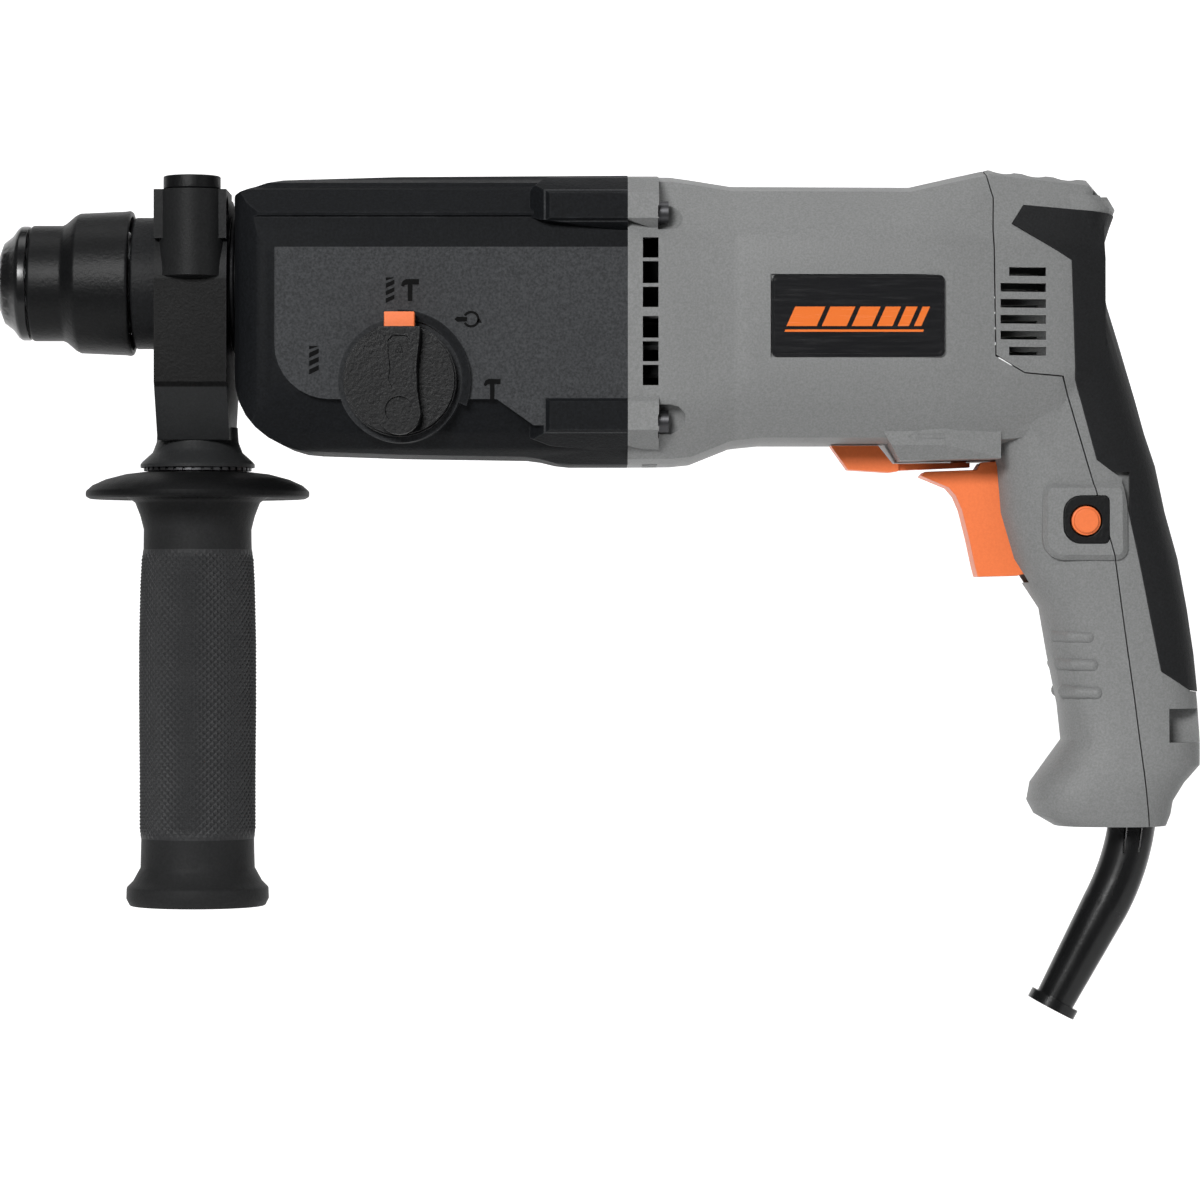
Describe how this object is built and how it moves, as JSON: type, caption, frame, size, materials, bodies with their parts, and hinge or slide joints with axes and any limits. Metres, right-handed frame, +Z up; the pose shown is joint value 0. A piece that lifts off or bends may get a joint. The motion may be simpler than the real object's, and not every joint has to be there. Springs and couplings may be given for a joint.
{
  "type": "rotary hammer",
  "caption": "Pistol-shaped corded rotary hammer with quick-change tool socket, swivelling side handle, mode knob, trigger, direction lever and lock-on button.",
  "frame": {"origin": "centre of the tool socket's mouth, on the spindle axis", "axes": "-X out of the socket towards the work, +Z up, -Y the side with the mode knob"},
  "size_m": [0.3652, 0.0874, 0.2581],
  "materials": {
    "charcoal_plastic": "fine moulded texture",
    "rubber": "matt rubber",
    "black_plastic": "satin moulded",
    "black_screw": "black oxide",
    "grey_plastic": "fine moulded texture",
    "orange_plastic": "satin",
    "steel": "machined",
    "dark_steel": "hardened",
    "aluminium": "cast",
    "copper": "enamelled copper",
    "brass": "plain",
    "carbon": "pressed carbon"
  },
  "bodies": {
    "tool_body": {"nose_barrel": "charcoal_plastic", "neck_ring": "steel", "spindle_bearing": "steel", "gear_housing": "charcoal_plastic", "bearing_bridge": "aluminium", "intermediate_bearings": "steel", "motor_housing": "grey_plastic", "rear_cover": "grey_plastic", "soft_grip": "rubber", "label_plate": "black_plastic", "flange_screws": "black_screw", "cover_screws": "black_screw", "stator_core": "dark_steel", "field_windings": "copper", "armature_bearings": "steel", "brush_holders": "brass", "carbon_brushes": "carbon", "switch_body": "charcoal_plastic", "lock_frame": "black_plastic", "cord_guard": "rubber", "cord_clamp": "charcoal_plastic"},
    "spindle": {"tool_holder": "dark_steel", "dust_cap": "rubber", "lock_balls": "steel", "sleeve_spring": "steel", "spindle_gear": "steel", "clutch_spring": "steel"},
    "sleeve": {"lock_sleeve": "charcoal_plastic"},
    "beater": {"beat_piece": "steel"},
    "hammer": {"striker": "steel"},
    "piston_set": {"piston": "aluminium", "piston_pin": "steel"},
    "wobble": {"wobble_ring": "dark_steel"},
    "layshaft": {"intermediate_shaft": "dark_steel", "intermediate_gear": "steel", "wobble_hub": "steel"},
    "armature": {"armature_shaft": "steel", "rotor_core": "dark_steel", "rotor_windings": "copper", "commutator": "copper", "motor_fan": "charcoal_plastic"},
    "mode_selector": {"mode_knob": "black_plastic", "mode_shaft": "steel"},
    "mode_release": {"mode_button": "orange_plastic"},
    "trigger_lever": {"trigger": "orange_plastic"},
    "plunger": {"switch_plunger": "steel"},
    "reverser": {"direction_lever": "orange_plastic"},
    "lock_on": {"lock_button": "orange_plastic"},
    "side_handle": {"side_clamp": "charcoal_plastic", "clamp_bolt": "steel", "clamp_washer": "black_plastic"},
    "depth_release": {"depth_button": "charcoal_plastic"},
    "side_grip_body": {"side_grip": "rubber", "grip_nut": "brass"}
  },
  "joints": [
    {"name": "armature_spin", "type": "hinge", "parent": "tool_body", "child": "armature", "pos_m": [0.19, 0, -0.0115], "axis": [1, 0, 0], "continuous": true},
    {"name": "layshaft_spin", "type": "hinge", "parent": "tool_body", "child": "layshaft", "pos_m": [0.15, 0, -0.031], "axis": [1, 0, 0], "continuous": true},
    {"name": "spindle_spin", "type": "hinge", "parent": "tool_body", "child": "spindle", "pos_m": [0.05, 0, 0], "axis": [1, 0, 0], "continuous": true},
    {"name": "sleeve_slide", "type": "slide", "parent": "spindle", "child": "sleeve", "axis": [1, 0, 0], "range_m": [0, 0.005], "stiffness_N_per_m": 1800, "springref_m": -0.006},
    {"name": "beat_slide", "type": "slide", "parent": "spindle", "child": "beater", "axis": [1, 0, 0], "range_m": [-0.001, 0.002]},
    {"name": "striker_slide", "type": "slide", "parent": "spindle", "child": "hammer", "axis": [1, 0, 0], "range_m": [-0.0035, 0.002]},
    {"name": "wobble_rock", "type": "hinge", "parent": "tool_body", "child": "wobble", "pos_m": [0.158, 0, -0.031], "axis": [0, 1, 0], "range_deg": [-14.5, 14.5]},
    {"name": "piston_slide", "type": "slide", "parent": "tool_body", "child": "piston_set", "axis": [1, 0, 0], "range_m": [-0.00784, 0.00784]},
    {"name": "mode_turn", "type": "hinge", "parent": "tool_body", "child": "mode_selector", "pos_m": [0.1234, -0.04, -0.0313], "axis": [0, 1, 0], "range_deg": [-77, 96]},
    {"name": "mode_release_press", "type": "slide", "parent": "mode_selector", "child": "mode_release", "axis": [0, 0, -1], "range_m": [0, 0.0015], "stiffness_N_per_m": 800, "springref_m": -0.002},
    {"name": "trigger_pull", "type": "hinge", "parent": "tool_body", "child": "trigger_lever", "pos_m": [0.308, 0, -0.06], "axis": [0, -1, 0], "range_deg": [0, 12], "stiffness_Nm_per_rad": 1.2, "springref_deg": -17.19},
    {"name": "plunger_push", "type": "slide", "parent": "tool_body", "child": "plunger", "axis": [1, 0, 0], "range_m": [0, 0.00289]},
    {"name": "direction_swing", "type": "hinge", "parent": "tool_body", "child": "reverser", "pos_m": [0.292, 0, -0.055], "axis": [0, 0, 1], "range_deg": [-9, 9]},
    {"name": "lock_press", "type": "slide", "parent": "tool_body", "child": "lock_on", "axis": [0, 1, 0], "range_m": [0, 0.003], "stiffness_N_per_m": 600, "springref_m": -0.002},
    {"name": "side_handle_swivel", "type": "hinge", "parent": "tool_body", "child": "side_handle", "pos_m": [0.06, 0, 0], "axis": [1, 0, 0], "continuous": true},
    {"name": "depth_release_press", "type": "slide", "parent": "side_handle", "child": "depth_release", "axis": [0, 0, -1], "range_m": [0, 0.0011], "stiffness_N_per_m": 1200, "springref_m": -0.002},
    {"name": "grip_turn", "type": "hinge", "parent": "side_handle", "child": "side_grip_body", "pos_m": [0.06, 0, -0.12], "axis": [0, 0, 1], "range_deg": [-360, 0]}
  ],
  "couplings": [
    {"joint": "layshaft_spin", "follows": "armature_spin", "ratio": -0.18182},
    {"joint": "spindle_spin", "follows": "armature_spin", "ratio": 0.043636},
    {"joint": "wobble_rock", "follows": "piston_slide", "rad_per_m": 32.258},
    {"joint": "trigger_pull", "follows": "plunger_push", "rad_per_m": 72.4}
  ]
}
